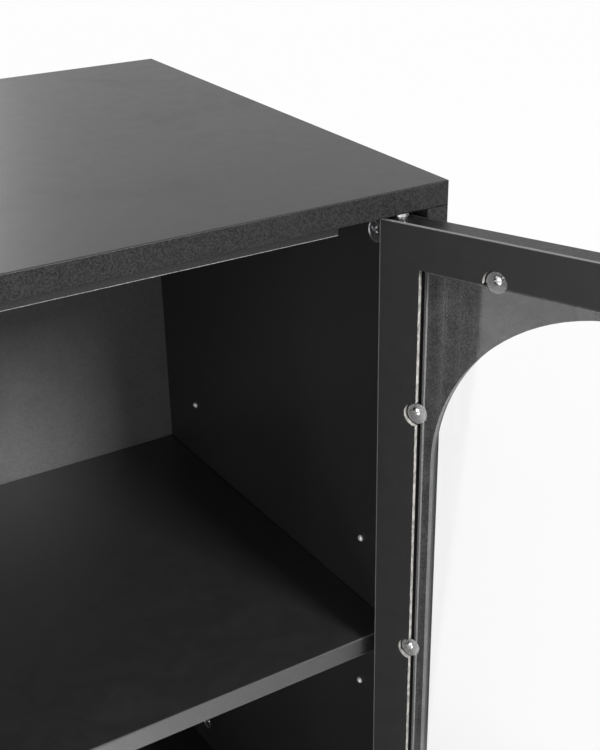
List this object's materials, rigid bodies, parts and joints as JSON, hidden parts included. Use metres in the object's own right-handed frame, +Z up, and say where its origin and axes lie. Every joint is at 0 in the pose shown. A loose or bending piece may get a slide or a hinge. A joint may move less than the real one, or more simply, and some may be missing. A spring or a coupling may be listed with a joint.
{
  "type": "media cabinet",
  "caption": "Low black cabinet on tapered legs, with shelved bays behind inset glazed doors whose arched windows are routed in one panel.",
  "frame": {"origin": "on the floor under the middle of the cabinet, at the foot of the centre leg", "axes": "+X along the width to the right seen from the front, +Y from front to back, +Z up"},
  "size_m": [1.4462, 0.6644, 0.8],
  "materials": {
    "black_board": "satin black foil with a fine speckled grain",
    "grey_hardboard": "dark printed hardboard, satin",
    "beech": "bare beech",
    "black_steel": "satin black powder coat",
    "bright_steel": "bright zinc plate",
    "magnet": "nickel plate",
    "black_plastic": "moulded matt black plastic",
    "clear_plastic": "clear moulded plastic",
    "glass": "clear float glass with ground edges"
  },
  "bodies": {
    "cabinet": {"top_board": "black_board", "bottom_board": "black_board", "left_side": "black_board", "right_side": "black_board", "divider": "black_board", "left_back": "grey_hardboard", "right_back": "grey_hardboard", "left_shelf": "black_board", "right_shelf": "black_board", "shelf_pins": "bright_steel", "cam_locks": "bright_steel", "cam_bolts": "bright_steel", "dowels": "beech", "left_stop_rail": "black_steel", "right_stop_rail": "black_steel", "rail_screws": "bright_steel", "left_catch": "black_plastic", "right_catch": "black_plastic", "catch_magnets": "magnet", "catch_screws": "bright_steel", "pivot_bushes": "bright_steel", "front_left_leg": "black_steel", "front_right_leg": "black_steel", "rear_left_leg": "black_steel", "rear_right_leg": "black_steel", "centre_leg": "black_steel", "leg_glides": "black_plastic", "leg_screws": "bright_steel"},
    "left_outer_leaf": {"left_outer_door": "black_board", "left_outer_glass": "glass", "left_outer_clips": "clear_plastic", "left_outer_screws": "bright_steel", "left_outer_pivots": "bright_steel", "left_outer_knob": "black_steel", "left_outer_strike": "bright_steel"},
    "left_inner_leaf": {"left_inner_door": "black_board", "left_inner_glass": "glass", "left_inner_clips": "clear_plastic", "left_inner_screws": "bright_steel", "left_inner_pivots": "bright_steel", "left_inner_knob": "black_steel", "left_inner_strike": "bright_steel"},
    "right_inner_leaf": {"right_inner_door": "black_board", "right_inner_glass": "glass", "right_inner_clips": "clear_plastic", "right_inner_screws": "bright_steel", "right_inner_pivots": "bright_steel", "right_inner_knob": "black_steel", "right_inner_strike": "bright_steel"},
    "right_outer_leaf": {"right_outer_door": "black_board", "right_outer_glass": "glass", "right_outer_clips": "clear_plastic", "right_outer_screws": "bright_steel", "right_outer_pivots": "bright_steel", "right_outer_knob": "black_steel", "right_outer_strike": "bright_steel"}
  },
  "joints": [
    {"name": "left_outer_hinge", "type": "hinge", "parent": "cabinet", "child": "left_outer_leaf", "pos_m": [-0.635, -0.1875, 0.1355], "axis": [0, 0, -1], "range_deg": [0, 120]},
    {"name": "left_inner_hinge", "type": "hinge", "parent": "cabinet", "child": "left_inner_leaf", "pos_m": [-0.021, -0.1875, 0.1355], "axis": [0, 0, 1], "range_deg": [0, 87]},
    {"name": "right_inner_hinge", "type": "hinge", "parent": "cabinet", "child": "right_inner_leaf", "pos_m": [0.021, -0.1875, 0.1355], "axis": [0, 0, -1], "range_deg": [0, 87]},
    {"name": "right_outer_hinge", "type": "hinge", "parent": "cabinet", "child": "right_outer_leaf", "pos_m": [0.635, -0.1875, 0.1355], "axis": [0, 0, 1], "range_deg": [-114, 6]}
  ]
}
